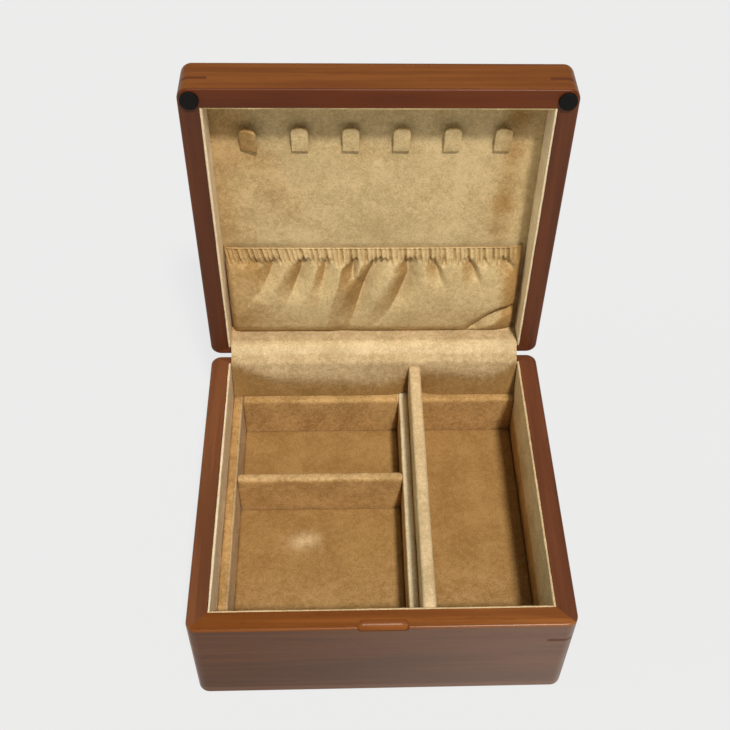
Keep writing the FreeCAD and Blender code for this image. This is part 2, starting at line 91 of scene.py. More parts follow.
# The front wall's upper edge and its finger notch, painted lighter than its face: painted light where they
# look up to the lamp
RIM_FROM = 69.4 * MM
NOTCH_FACE = -93.3 * MM
NOTCH_HALF = 15 * MM
NOTCH_FADE = 4 * MM
FACE_FADE = 1.0 * MM
RIM_FADE = 1.2 * MM
LID_RIM_TO = 98.3 * MM
CASE_HALF = 100 * MM

# Wood: tones from dark to light, and how fast each part of the grain changes along and across it, per metre
ORANGE = ((0.165, 0.047, 0.0085), (0.205, 0.061, 0.011), (0.245, 0.077, 0.015))
RED = ((0.105, 0.030, 0.011), (0.130, 0.038, 0.014), (0.160, 0.048, 0.018))
# Tones of the base's front wall and bottom board: partly their wood, partly painted shade on these upright
# faces, which the lamp lights less than the tops
DARK_AND_SHADED = ((0.072, 0.025, 0.010), (0.098, 0.035, 0.013), (0.128, 0.047, 0.016))
KEYS = ((0.070, 0.020, 0.007), (0.085, 0.024, 0.008), (0.100, 0.029, 0.010))
# Lighter tones for the front rim and notch: painted light where they look up to the lamp
PAINTED_LIT_RIM = (*ORANGE[:2], (0.32, 0.105, 0.022))
GRAIN_BROAD = (5, 38)
GRAIN_STREAKS = (7, 260)
GRAIN_PORES = (110, 2400)
STREAK_SHARE = 0.45
TONE_SPAN = (0.37, 0.63)
PORE_SPAN = (0.60, 0.72)
PORE_STAIN = 0.40
GRAIN_DEPTH = 0.04 * MM
# Painted reflection on the base's front: its tone flattened and painted lighter towards the right, with a
# coat that grows the same way
PAINTED_REFLECTION_CONTRAST = 0.5
PAINTED_REFLECTION_LIGHT = 0.9
PAINTED_REFLECTION_FROM = 0.35
FRONT_PAINTED_REFLECTION = 0.5
TIMBER_STEP = (1.7, 2.3, 0.9)

# Cloth: pairs of a low and a high colour, the sizes of its pattern per metre and their shares
BASE_PALE = ((0.52, 0.365, 0.190), (0.75, 0.545, 0.320))
BASE_DEEP = ((0.33, 0.185, 0.062), (0.57, 0.345, 0.138))
FLOOR_DEEP = ((0.28, 0.152, 0.048), (0.40, 0.235, 0.085))
LID_PALE = ((0.49, 0.350, 0.165), (0.71, 0.53, 0.28))
LID_BROWN = ((0.33, 0.190, 0.065), (0.48, 0.290, 0.110))
HOOK_PALE = ((0.54, 0.385, 0.182), (0.78, 0.585, 0.31))
STRIP_PALE = ((0.54, 0.393, 0.212), (0.77, 0.585, 0.350))
STRIP_BROWN = ((0.255, 0.142, 0.046), (0.37, 0.215, 0.078))
# A lighter copy of the lining: painted light on side faces and a ledge that the lamps leave in shade
PAINTED_LIT_SUEDE = ((0.74, 0.56, 0.35), (0.92, 0.76, 0.52))
SUEDE_PATCHES = 55
SUEDE_STROKES = 320
SUEDE_NAP = 1000
SUEDE_SHARES = (0.30, 0.28, 0.42)
SUEDE_SPAN = (0.38, 0.62)
RAGGED_STROKES = 0.32
RAGGED_NAP = 0.15
SUEDE_DEPTH = 0.6 * MM

# Lining cloth over boards: its edges and unevenness
SMOOTH_ANGLE = math.radians(60)
LINER_EDGE = 0.5 * MM
FRAME_EDGE = 2.0 * MM
CLOTH_CELL = 2.2 * MM
MOST_CUTS = 100
ALONG_AXIS = 0.95
BROAD_WAVE = 0.5 * MM
BROAD_LENGTH = 18 * MM
FINE_WAVE = 0.32 * MM
FINE_LENGTH = 3.4 * MM

# Where the base's lining shows its lighter colours: high up, and painted light where it faces up or right
# towards the lamps
DEEP_BELOW = 48 * MM
RIGHT_DEEP_BELOW = 29 * MM
DEEP_FADE = 10 * MM
UP_FACING_FROM = 0.25
UP_FACING_RUN = 0.5
RIGHT_FACING_FROM = 0.5
RIGHT_FACING_RUN = 0.3
RIGHT_FACING_PAINTED_LIGHT = 0.95

# The lid is painted browner along its left side, a painted shade away from the lamp on the right
LID_DARK_FROM = -92 * MM
LID_DARK_FADE = 34 * MM
LID_LEFT_SHADED_SHARE = 0.45
# Where the lid is darker, partly nap lying the other way and partly painted shadow, as at the top corners
# under the front wall and along the right wall: middle across and up, half width, half height and strength
NAP_AND_SHADOW_PATCHES = (
    (-58, 186, 10, 18, 0.45), (-46, 170, 9, 12, 0.35), (-8, 207, 26, 5, 0.34),
    (72, 188, 7, 16, 0.60), (70, 154, 8, 10, 0.55), (30, 180, 16, 9, 0.24),
    (-72, 130, 11, 7, 0.50), (-78, 94, 9, 10, 0.30), (82, 118, 6, 13, 0.55),
    (81, 90, 8, 9, 0.90), (-14, 118, 5, 7, 0.60), (-35, 109, 6, 8, 0.40),
    (-66, 205, 14, 9, 0.45), (-73, 226, 9, 12, 0.45), (74, 230, 9, 10, 0.90),
    (74, 209, 8, 9, 0.70), (71, 172, 9, 8, 0.75),
)

# Floor pads, with a pale patch on the large one and a little more light nap towards the front
PALE_PATCH = (-43 * MM, -7 * MM)
PALE_PATCH_REACH = (11 * MM, 7 * MM)
PALE_PATCH_NAP = 0.62
FRONT_FLOOR = 60 * MM
FRONT_FLOOR_NAP = 0.2
PAD_CROWN = 0.5 * MM
PAD_EDGE = 2.0 * MM
PAD_WAVE = 0.5 * FINE_WAVE

# The tall partition's rear end: where it is cut, at its top and at the ledge
DIVIDER_END_TOP = 85.9 * MM
DIVIDER_END_LEDGE = 83.5 * MM
LEDGE_Z = 46.0 * MM
DIVIDER_TOP_Z = 70.4 * MM

# Hooks: tabs with sloping shoulders. The first stands askew and is painted browner, a painted shade as it
# turns from the light.
HOOK_COUNT = 6
HOOK_SHOULDER = 2.9 * MM
SHOULDER_PROFILE = 0.42
HOOK_THICK = 1.7 * MM
HOOK_EDGE = 0.5 * MM
HOOK_EDGE_ANGLE = math.radians(50)
HOOK_LEAN = math.radians(11)
HOOK_TWIST = math.radians(10)
ASKEW_LEAN = 0.5
HOOK_CELL = 0.8 * MM
HOOK_WAVE = 0.8 * FINE_WAVE
ASKEW_HOOK_PAINTED_SHADE = 0.5

# Pocket: millimetres across, up from its seam and out from the panel, on the shut lid
POCKET_SEAM_Y = 86.6
PANEL_Z = 91.0
POCKET_TOP = 65.7
POCKET_SAG = 0.5
POCKET_LEFT = -87.7
POCKET_RIGHT = 86.3
POCKET_COLUMNS = 470
POCKET_ROWS = 100
GATHER_ROWS = 38
GATHER_HEIGHT = 11.0
SEAM_OUT = 5.5
BELLY_OUT = 9.6
BELLY_UP = 9.0
BELLY_CURVE = 0.5
HEM_OUT = 3.0
HEM_ROLL = 0.3
HEM_HEIGHT = 0.6
BILLOW = 2.0
BILLOW_FROM = 6.0
BILLOW_RUN = POCKET_TOP - 8.0
LEFT_RUN = 6.0
RIGHT_RUN = 14.0
SIDE_OUT = 1.0
LEAST_OUT = 0.2
POCKET_THICK = 0.8
PLEAT_PITCH = 2.86
PLEAT_DEPTH = 2.1
PLEAT_BOTTOM = 58.4
PLEAT_FADE = 4.0
PLEAT_CURVE = 0.9
PLEAT_LEAN = 0.06
LEFT_LEAN = 0.22
LEFT_LEAN_FROM = 10.0
LEFT_LEAN_RUN = 45.0
LEAN_FROM = PLEAT_BOTTOM + 4
PLEAT_HEM_GAP = 0.6
PLEAT_HEM_RUN = 1.2
PLEAT_TOP_SHARE = 0.9
PLEAT_DEEPENS = 4.0
# Unevenness of the gathers: sizes and paces of the waves in their spacing, their depth and their lower ends
SPACING_WAVES = ((0.20, 0.37, 0.0), (0.15, 0.83, 1.0))
DEPTH_LEVEL = 0.8
DEPTH_WAVE = 0.3
DEPTH_PACE = 2.4
BOTTOM_WAVE = 0.8
BOTTOM_PACE = 1.7
# The pocket's painted light and shade: its level, the painted shade that turned cloth, hollows and the hem
# take from it, the painted light in its gathers, and its two darker ends
POCKET_LIGHT_LEVEL = 0.86
TURNED_PAINTED_SHADE = 1.2
POCKET_UP_PAINTED_LIGHT = 0.22
POCKET_RIGHT_PAINTED_SHADE = 0.85
PLEAT_PAINTED_LIGHT = 0.14
HOLLOW_PAINTED_SHADE = 0.32
HEM_PAINTED_SHADOW = 0.30
HEM_SHADOW_RUN = 0.8
LEFT_END_SHADED_SHARE = 0.35
LEFT_END_RUN = 1.4 * LID_DARK_FADE
RIGHT_DARK_FROM = 72.0
RIGHT_DARK_FADE = 11.0
RIGHT_DARK = 0.6
SEAM_REST_Z = 78.7
CREASE_TOP = 61.0
CREASE_GROWTH = 7.0
CREASE_SOFT = 0.35
CREASE_FAN = 1.3
CREASE_FAN_GROWTH = 0.9
STEEP_CURVE = 1.9
GENTLE_CURVE = 1.6
CREASE_FADE_FROM = 0.35
# Creases below the gathers: depth, reach of the left and the right flank, the depth left at the lower end,
# and the line from the gathers down, as places across and up the pocket. A negative depth is a ridge.
POCKET_CREASES = (
    (2.4, 3.5, 4.5, 0.0, ((-77.5, 60), (-79, 57), (-81, 53))),
    (4.4, 5.0, 4.0, 0.2, ((-70.5, 60), (-69.0, 56), (-67, 51))),
    (5.5, 9.0, 7.0, 0.3, ((-58.6, 59.4), (-59.6, 54.5), (-62, 47), (-65.5, 41), (-70, 34.5))),
    (6.5, 7.0, 8.5, 0.1, ((-41.3, 58), (-42.8, 52.5), (-44.6, 46), (-48, 38), (-52, 30), (-54.5, 25.7))),
    (5.5, 4.8, 8.0, 0.1, ((-29, 58), (-28.9, 52.6), (-30, 46.4), (-32, 39), (-33, 32.5))),
    (-3.4, 7.0, 13.0, 0.4, ((-19.5, 57), (-22.8, 42), (-25.6, 32.5), (-28.6, 12))),
    (7.0, 6.5, 3.4, 0.2, ((-12, 58), (-13.3, 51), (-13.6, 47), (-10.4, 43.7))),
    (8.5, 6.0, 9.0, 0.15, ((2.6, 58), (-0.3, 52.4), (-4.5, 43.7), (-7.7, 33.7), (-11, 22.5), (-16, 6))),
    (8.0, 6.5, 9.5, 0.15,
     ((20, 58), (19.4, 52), (19.6, 46.7), (17.4, 39.6), (14.4, 32), (10.7, 25), (5.4, 15.7))),
    (5.2, 4.8, 4.0, 0.1, ((33.4, 58), (35.7, 52), (38, 45.4), (41, 40))),
    (2.2, 1.8, 1.8, 0.0, ((40, 58), (40, 53.5))),
    (5.6, 4.8, 3.8, 0.1, ((54.7, 58), (57, 52.8), (59.5, 46), (63, 40))),
    (2.2, 2.0, 2.2, 0.0, ((63.8, 58), (66.8, 52.7))),
    (5.6, 4.6, 4.6, 0.3, ((73.7, 60), (78, 54), (83, 48))),
    (6.2, 4.2, 4.4, 0.6, ((88, 19.5), (77, 18.2), (71.7, 14.4), (66.5, 9.8), (62, 5))),
)

# Elastic in the pocket's hem
ELASTIC_COLUMNS = 400
ELASTIC_ROWS = 10
ELASTIC_RIPPLE = 0.12 * MM
ELASTIC_CLEAR = 0.3 * MM

# Strip over the hinges: millimetres back and up, with the lid open
STRIP_HALF = 87.6
STRIP_THICK = 0.7
STRIP_PATH = (
    (106.9, 78.4), (100.5, 78.9), (95.6, 79.1), (93.6, 78.2), (91.3, 75.6), (89.2, 73.7),
    (86.9, 72.2), (86.4, 70.6), (86.3, 66.0), (86.2, 58.0), (85.6, 50.0), (85.2, 46.4),
)
PATH_SMOOTHING = (1, 4, 6, 4, 1)
SMOOTHING_ROUNDS = 4
STRIP_COLUMNS = 150
STRIP_ROWS = 90
STRIP_EDGE_Z = 72.0
STRIP_FORWARD = 2.8
FORWARD_RUN = 26.0
DIVIDER_MIDDLE = 24.4
DIVIDER_REACH = 9.0
SWAG_SHARE = 0.6
SWAG_TOP_GAP = 1.0
SWAG_GROWTH = 7.0
SWAG_EDGE_REACH = 4.0
# How pale the strip is: its share on the hanging cloth, how fast it browns below the bulges, and where it
# is palest over the hinges
STRIP_HANGING_SHARE = 0.60
STRIP_BROWN_REACH = 8.0
HINGE_PALE_Z = 74.5
HINGE_PALE_RISE = 2.5
HINGE_PALE_Y = 96.5
HINGE_PALE_FALL = 3.0
# Where the hanging cloth bulges: place across, height of the bulge's lower edge and how far it stands out
STRIP_SWAGS = (
    (-87.7, 71, 0.2), (-82, 67.5, 0.6), (-72, 62.5, 1.1), (-61, 58.5, 1.4), (-44, 57, 1.3), (-21, 56, 0.8),
    (0, 55, 0.4), (15, 56, 0.2), (20, 60, 0.0), (29, 62, 0.0), (34, 62.5, 0.3), (45, 62, 0.8),
    (57, 60.5, 1.0), (68, 59, 1.0), (74, 60.5, 0.9), (80, 64, 0.6), (87.7, 71, 0.2),
)


class Wire:
    """A shader socket that takes part in Python arithmetic."""

    def __init__(self, finish, socket):
        self.finish = finish
        self.socket = socket

    def __add__(self, other):
        return self.finish.maths("ADD", self, other)

    def __radd__(self, other):
        return self.finish.maths("ADD", other, self)

    def __sub__(self, other):
        return self.finish.maths("SUBTRACT", self, other)

    def __rsub__(self, other):
        return self.finish.maths("SUBTRACT", other, self)

    def __mul__(self, other):
        return self.finish.maths("MULTIPLY", self, other)

    def __rmul__(self, other):
        return self.finish.maths("MULTIPLY", other, self)


class Finish:
    """A material in the making."""

    def __init__(self, name):
        self.material = bpy.data.materials.new(name)
        self.material.use_nodes = True
        self.tree = self.material.node_tree
        self.tree.nodes.clear()

    def node(self, kind, inputs=None, output=0, stops=None, **settings):
        """Adds a node: its settings first, then the values or links of its sockets."""
        made = self.tree.nodes.new(kind)
        for key, value in settings.items():
            setattr(made, key, value)
        if stops:
            elements = made.color_ramp.elements
            while len(elements) < len(stops):
                elements.new(0.5)
            for element, (place, colour) in zip(elements, stops):
                element.position = place
                element.color = (*colour, 1.0)
        for key, value in (inputs or {}).items():
            if isinstance(value, Wire):
                self.tree.links.new(value.socket, made.inputs[key])
            else:
                made.inputs[key].default_value = value
        return Wire(self, made.outputs[output])

    def maths(self, operation, a, b):
        """One step of arithmetic."""
        return self.node("ShaderNodeMath", {0: a, 1: b}, operation=operation)

    def ramp(self, share, tones):
        """A colour along evenly spaced tones."""
        stops = [(index / (len(tones) - 1), tone) for index, tone in enumerate(tones)]
        return self.node("ShaderNodeValToRGB", {0: share}, stops=stops)

    def mix(self, share, a, b):
        """A colour between a and b."""
        return self.node("ShaderNodeMix", {0: share, 6: a, 7: b}, output=2, data_type="RGBA")

    def surface(self, **inputs):
        """Ends the material in a principled surface."""
        sockets = {key.replace("_", " "): value for key, value in inputs.items()}
        shader = self.node("ShaderNodeBsdfPrincipled", sockets)
        self.node_out(shader)
        return self.material

    def node_out(self, shader):
        """Shows a shader on the surface."""
        out = self.tree.nodes.new("ShaderNodeOutputMaterial")
        self.tree.links.new(shader.socket, out.inputs["Surface"])

    def place(self, scale=(1, 1, 1), offset=(0, 0, 0)):
        """Object coordinates, stretched and moved."""
        coordinates = self.node("ShaderNodeTexCoord", output="Object")
        inputs = {"Vector": coordinates, "Location": offset, "Scale": scale}
        return self.node("ShaderNodeMapping", inputs)

    def axis(self, letter):
        """One of the object coordinates."""
        return self.node("ShaderNodeSeparateXYZ", {0: self.place()}, output=letter)

    def noise(self, place, scale, detail=3.0, roughness=0.5, distortion=0.0):
        """Soft random patches, with their size set by a scale."""
        inputs = {"Vector": place, "Scale": scale, "Detail": detail}
        inputs.update({"Roughness": roughness, "Distortion": distortion})
        return self.node("ShaderNodeTexNoise", inputs)

    def between(self, value, low, high):
        """The value spread over 0 to 1 between low and high."""
        inputs = {"Value": value, "From Min": low, "From Max": high}
        return self.node("ShaderNodeMapRange", inputs, interpolation_type="SMOOTHSTEP")

    def bump(self, height, distance, strength=1.0):
        """A normal that follows a height."""
        return self.node("ShaderNodeBump", {"Height": height, "Distance": distance, "Strength": strength})


def grain_scale(along, slow, fast):
    """Stretches a pattern along the grain: slow along one axis, fast across the other two."""
    return tuple(slow if axis == along else fast for axis in "xyz")


def lacquered_wood(name, along, tones, offset, gloss, edge=None, edge_tones=None, painted_reflection=0.0):
    """Stained wood under satin lacquer: long streaks, fine dark pores and broad changes of tone.

    An edge function tells where the edge tones show. A painted reflection share flattens the tone and
    paints it lighter towards the right, a painted reflection, and makes the coat grow the same way."""
    finish = Finish(name)
    broad_place = finish.place(grain_scale(along, *GRAIN_BROAD), offset)
    streak_place = finish.place(grain_scale(along, *GRAIN_STREAKS), offset)
    pore_place = finish.place(grain_scale(along, *GRAIN_PORES), offset)
    broad = finish.noise(broad_place, 1.0, detail=3, distortion=0.6)
    streaks = finish.noise(streak_place, 1.0, detail=5, roughness=0.55, distortion=0.3)
    pores = finish.noise(pore_place, 1.0, detail=2)
    to_right = finish.between(finish.axis("X"), -CASE_HALF, CASE_HALF)
    tone = finish.between(STREAK_SHARE * streaks + (1 - STREAK_SHARE) * broad, *TONE_SPAN)
    # painted reflection: the tone grows lighter towards the right
    tone = tone * (1 - PAINTED_REFLECTION_CONTRAST * painted_reflection) + PAINTED_REFLECTION_LIGHT * painted_reflection * (to_right - PAINTED_REFLECTION_FROM)
    colour = finish.ramp(tone, tones)
    if edge:
        colour = finish.mix(edge(finish), colour, finish.ramp(tone, edge_tones))
    open_pores = finish.between(pores, *PORE_SPAN)
    half_dark = (*[0.5 * c for c in tones[0]], 1)
    colour = finish.mix(open_pores * PORE_STAIN, colour, half_dark)
    return finish.surface(
        Base_Color=colour,
        Roughness=0.36 + 0.10 * broad + 0.10 * open_pores,
        Normal=finish.bump(0.6 * streaks - 0.4 * open_pores, GRAIN_DEPTH, 0.4),
        Specular_IOR_Level=gloss,
        Coat_Weight=painted_reflection * to_right,
        Coat_Roughness=0.30,
    )


def base_rim(finish):
    """1 on the front wall's upper edge and in its finger notch, where the painted lighter rim tones go, 0
    on its face.
    """
    top = finish.between(finish.axis("Z"), RIM_FROM, RIM_FROM + RIM_FADE)
    inside = finish.between(finish.axis("Y"), NOTCH_FACE, NOTCH_FACE + FACE_FADE)
    from_middle = finish.maths("ABSOLUTE", finish.axis("X"), 0.0)
    beside = finish.between(from_middle, NOTCH_HALF, NOTCH_HALF + NOTCH_FADE)
    return finish.maths("MAXIMUM", top, inside * (1 - beside))


def lid_rim(finish):
    """1 on the rim of the lid's front wall, 0 on its outer face."""
    return 1 - finish.between(finish.axis("Y"), LID_RIM_TO, LID_RIM_TO + RIM_FADE)


def suede(name, low, high, offset=(0, 0, 0), deep=None):
    """Brushed cloth: soft patches where the nap lies another way, short strokes and a fine nap.

    With a pair of deep colours, the piece's stored shares tell where the lighter ones show: partly the nap,
    partly painted light and shade."""
    finish = Finish(name)
    place = finish.place(offset=offset)
    patches = finish.noise(place, SUEDE_PATCHES, detail=3, distortion=0.4)
    strokes = finish.noise(place, SUEDE_STROKES, detail=4, roughness=0.6, distortion=0.3)
    nap = finish.noise(place, SUEDE_NAP, detail=3, roughness=0.65)
    patch_share, stroke_share, nap_share = SUEDE_SHARES
    tone = finish.between(patch_share * patches + stroke_share * strokes + nap_share * nap, *SUEDE_SPAN)
    colour = finish.mix(tone, (*low, 1), (*high, 1))
    if deep:
        light = finish.node("ShaderNodeAttribute", output="Fac", attribute_name="nap_and_painted_light")
        ragged = light + RAGGED_STROKES * (strokes - 0.5) + RAGGED_NAP * (nap - 0.5)
        deep_colour = finish.mix(tone, (*deep[0], 1), (*deep[1], 1))
        colour = finish.mix(finish.between(ragged, 0.0, 1.0), deep_colour, colour)
    return finish.surface(
        Base_Color=colour,
        Roughness=0.94,
        Normal=finish.bump(0.7 * nap + 0.3 * strokes, SUEDE_DEPTH, 0.7),
        Specular_IOR_Level=0.05,
        Sheen_Weight=0.03,
        Sheen_Roughness=0.45,
        Sheen_Tint=(1.0, 0.95, 0.86, 1),
    )


def rubber():
    """Black rubber with a fine grit."""
    finish = Finish("black_rubber")
    grit = finish.noise(finish.place(), 1800, detail=3, roughness=0.6)
    colour = finish.mix(grit, (0.003, 0.003, 0.003, 1), (0.010, 0.009, 0.008, 1))
    return finish.surface(
        Base_Color=colour,
        Roughness=0.60 + 0.16 * grit,
        Normal=finish.bump(grit, 0.06 * MM),
        Specular_IOR_Level=0.12,
    )


def plain_metal(name, low, high):
    """Rolled metal with faint brushing along the hinge."""
    finish = Finish(name)
    brushing = finish.noise(finish.place((60, 2400, 2400)), 1.0, detail=4, roughness=0.6)
    spots = finish.noise(finish.place(), 260, detail=4, roughness=0.6)
    colour = finish.mix(0.5 * brushing + 0.5 * spots, (*low, 1), (*high, 1))
    return finish.surface(
        Base_Color=colour,
        Metallic=1.0,
        Roughness=0.28 + 0.22 * spots,
        Normal=finish.bump(brushing, 0.02 * MM),
    )


def elastic_weave():
    """Woven elastic with fine upright ribs."""
    finish = Finish("elastic_weave")
    ribs = finish.noise(finish.place((4200, 160, 160)), 1.0, detail=2)
    colour = finish.mix(ribs, (0.42, 0.33, 0.20, 1), (0.62, 0.52, 0.36, 1))
    return finish.surface(Base_Color=colour, Roughness=0.9, Normal=finish.bump(ribs, 0.1 * MM))


def ease(share):
    """A smooth step from 0 to 1."""
    share = np.clip(share, 0.0, 1.0)
    return share * share * (3 - 2 * share)


def only(piece):
    """Selects one piece alone and makes it active."""
    bpy.ops.object.select_all(action="DESELECT")
    piece.select_set(True)
    bpy.context.view_layer.objects.active = piece


def use(piece, kind, **settings):
    """Adds a modifier with its settings and applies it."""
    only(piece)
    modifier = piece.modifiers.new(kind.lower(), kind)
    for key, value in settings.items():
        setattr(modifier, key, value)
    bpy.ops.object.modifier_apply(modifier=modifier.name)


def block(name, low, high):
    """A block between two corners, its place in its mesh."""
    bpy.ops.object.select_all(action="DESELECT")
    middle = (Vector(low) + Vector(high)) / 2
    bpy.ops.mesh.primitive_cube_add(size=1, location=middle, scale=Vector(high) - Vector(low))
    piece = bpy.context.object
    piece.name = name
    bpy.ops.object.transform_apply(location=True, rotation=True, scale=True)
    return piece


def smooth(piece):
    """Shades a piece as smooth, apart from its sharp edges."""
    only(piece)
    bpy.ops.object.shade_smooth_by_angle(angle=SMOOTH_ANGLE)


def shut_matrix():
    """Turns the open lid shut about the hinge pins."""
    pin = Vector((0, AXIS_Y, AXIS_Z))
    return Matrix.Translation(pin) @ Matrix.Rotation(OPEN_ANGLE, 4, "X") @ Matrix.Translation(-pin)


def shut_box(node):
    """The corners of a lid node as it lies when the lid is shut."""
    turn = shut_matrix()
    points = np.array([turn @ v.co for v in frame["nodes"][node].data.vertices])
    return Vector(points.min(0)), Vector(points.max(0))


def swing_open(piece):
    """Takes a piece that was modelled on the shut lid to the open lid."""
    piece.matrix_world = shut_matrix().inverted()
    only(piece)
    bpy.ops.object.transform_apply(location=True, rotation=True, scale=True)


def into_cells(piece, cell):
    """Cuts long faces across, so that the cloth on them can be uneven."""
    only(piece)
    bpy.ops.object.mode_set(mode="EDIT")
    bpy.ops.mesh.select_mode(type="EDGE")
    for axis in range(3):
        bpy.ops.mesh.select_all(action="DESELECT")
        mesh = bmesh.from_edit_mesh(piece.data)
        longest = 0.0
        for edge in mesh.edges:
            run = edge.verts[1].co - edge.verts[0].co
            along = abs(run[axis])
            if along > cell and along > ALONG_AXIS * run.length:
                edge.select_set(True)
                longest = max(longest, along)
        bmesh.update_edit_mesh(piece.data)
        if longest:
            bpy.ops.mesh.subdivide(number_cuts=min(int(longest / cell), MOST_CUTS))
    bpy.ops.object.mode_set(mode="OBJECT")


def uneven(piece, height, length):
    """Moves the surface in and out a little, as hand-laid cloth does."""
    texture = bpy.data.textures.new(piece.name + "_unevenness", "CLOUDS")
    texture.noise_scale = length
    texture.noise_depth = 2
    use(piece, "DISPLACE", texture=texture, strength=height, mid_level=0.5, texture_coords="LOCAL")


def nap_and_painted_light(piece, shares):
    """Stores, for each vertex, how far the cloth shows its lighter colours: partly its nap, partly painted
    light and shade.
    """
    attribute = piece.data.attributes.new("nap_and_painted_light", "FLOAT", "POINT")
    attribute.data.foreach_set("value", np.asarray(shares, dtype=float))


def paint_base_light_by_place(piece, ledge_share, deep_below=DEEP_BELOW):
    """The cloth is lighter in the upper part of the base, and below it painted light where it faces up or
    right towards the lamps.
    """
    shares = []
    for vertex in piece.data.vertices:
        facing_up = ledge_share * ease((vertex.normal.z - UP_FACING_FROM) / UP_FACING_RUN)
        facing_right = RIGHT_FACING_PAINTED_LIGHT * ease((vertex.normal.x - RIGHT_FACING_FROM) / RIGHT_FACING_RUN)
        high = ease((vertex.co.z - deep_below) / DEEP_FADE)
        shares.append(max(facing_up, facing_right, high))
    nap_and_painted_light(piece, shares)


def dress(piece, node, body, material):
    """Gives a finished piece its material and lets it stand for its CAD node."""
    piece.data.materials.clear()
    piece.data.materials.append(material)
    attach(piece, body)
    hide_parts(node)


def cloth_over(piece, edge):
    """Rounds a board's edges and lays uneven cloth over it."""
    use(piece, "BEVEL", width=edge, segments=3, limit_method="ANGLE")
    into_cells(piece, CLOTH_CELL)
    uneven(piece, BROAD_WAVE, BROAD_LENGTH)
    uneven(piece, FINE_WAVE, FINE_LENGTH)


def covered_board(node, edge, material, ledge_share=0.5, deep_below=DEEP_BELOW):
    """A board of the base wrapped in lining cloth."""
    piece = block(node + "_cloth", *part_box(node))
    cloth_over(piece, edge)
    smooth(piece)
    paint_base_light_by_place(piece, ledge_share, deep_below)
    dress(piece, node, "base", material)


def covered_lid_board(node, edge, material):
    """A board of the lid wrapped in lining cloth."""
    piece = block(node + "_cloth", *shut_box(node))
    cloth_over(piece, edge)
    swing_open(piece)
    smooth(piece)
    lid_nap_and_painted_shade(piece)
    dress(piece, node, "lid", material)


def nap_and_shadow_darkening(place):
    """How far a place is darkened: by nap brushed the other way, and by painted shadow."""
    share = 0.0
    for across, up, wide, tall, strength in NAP_AND_SHADOW_PATCHES:
        away = ((place.x / MM - across) / wide) ** 2 + ((place.z / MM - up) / tall) ** 2
        share += strength * math.exp(-away)
    return share


def lid_nap_and_painted_shade(piece, lightest=1.0):
    """The lid's cloth is painted darker along its left side, a painted shade, and in its patches of turned
    nap and painted shadow.
    """
    shares = []
    for vertex in piece.data.vertices:
        from_left = ease((vertex.co.x - LID_DARK_FROM) / LID_DARK_FADE)
        share = lightest * (LID_LEFT_SHADED_SHARE + (1 - LID_LEFT_SHADED_SHARE) * from_left)
        shares.append(max(share - nap_and_shadow_darkening(vertex.co), 0.0))
    nap_and_painted_light(piece, shares)


def covered_divider(material):
    """The tall partition, its rear end cut back to leave room for the leaning strip."""
    piece = block("main_divider_cloth", *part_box("main_divider"))
    only(piece)
    bpy.ops.object.mode_set(mode="EDIT")
    bpy.ops.mesh.select_all(action="SELECT")
    rise = Vector((0, DIVIDER_END_TOP - DIVIDER_END_LEDGE, DIVIDER_TOP_Z - LEDGE_Z))
    outward = Vector((0, rise.z, -rise.y)).normalized()
    start = Vector((0, DIVIDER_END_LEDGE, LEDGE_Z))
    bpy.ops.mesh.bisect(plane_co=start, plane_no=outward, use_fill=True, clear_outer=True)
    bpy.ops.object.mode_set(mode="OBJECT")
    cloth_over(piece, FRAME_EDGE)
    smooth(piece)
    paint_base_light_by_place(piece, ledge_share=1.0)
    dress(piece, "main_divider", "base", material)


def floor_pad(node, material):
    """A padded floor, a little higher in its middle."""
    low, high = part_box(node)
    piece = block(node + "_cloth", low, high)
    use(piece, "BEVEL", width=PAD_EDGE, segments=4, limit_method="ANGLE")
    into_cells(piece, CLOTH_CELL)
    middle = (Vector(low) + Vector(high)) / 2
    half = (Vector(high) - Vector(low)) / 2
    for vertex in piece.data.vertices:
        if vertex.co.z > middle.z:
            across = (vertex.co.x - middle.x) / half.x
            along = (vertex.co.y - middle.y) / half.y
            vertex.co.z += PAD_CROWN * (1 - across ** 4) * (1 - along ** 4)
    uneven(piece, BROAD_WAVE, BROAD_LENGTH)
    uneven(piece, PAD_WAVE, FINE_LENGTH)
    smooth(piece)
    shares = []
    for vertex in piece.data.vertices:
        across = (vertex.co.x - PALE_PATCH[0]) / PALE_PATCH_REACH[0]
        along = (vertex.co.y - PALE_PATCH[1]) / PALE_PATCH_REACH[1]
        to_front = FRONT_FLOOR_NAP * ease(-vertex.co.y / FRONT_FLOOR)
        shares.append(to_front + PALE_PATCH_NAP * math.exp(-across ** 2 - along ** 2))
    nap_and_painted_light(piece, shares)
    dress(piece, node, "base", material)


def hook_tab():
    """One hook, lying flat with its foot at the origin: a padded tab with sloping shoulders."""
    low, high = shut_box("necklace_hook_1")
    length = high.y - low.y
    half = (high.x - low.x) / 2
    tab = block("hook", (-half, -length, -HOOK_THICK), (half, 0, 0))
    bpy.ops.object.mode_set(mode="EDIT")
    bpy.ops.mesh.select_mode(type="EDGE")
    bpy.ops.mesh.select_all(action="DESELECT")
    mesh = bmesh.from_edit_mesh(tab.data)
    for edge in mesh.edges:
        a, b = (v.co for v in edge.verts)
        if abs(a.z - b.z) > HOOK_THICK / 2 and max(a.y, b.y) < -length / 2:
            edge.select_set(True)
    bmesh.update_edit_mesh(tab.data)
    bpy.ops.mesh.bevel(offset=HOOK_SHOULDER, segments=2, profile=SHOULDER_PROFILE)
    bpy.ops.object.mode_set(mode="OBJECT")
    use(tab, "BEVEL", width=HOOK_EDGE, segments=3, limit_method="ANGLE", angle_limit=HOOK_EDGE_ANGLE)
    into_cells(tab, HOOK_CELL)
    uneven(tab, HOOK_WAVE, FINE_LENGTH)
    return tab


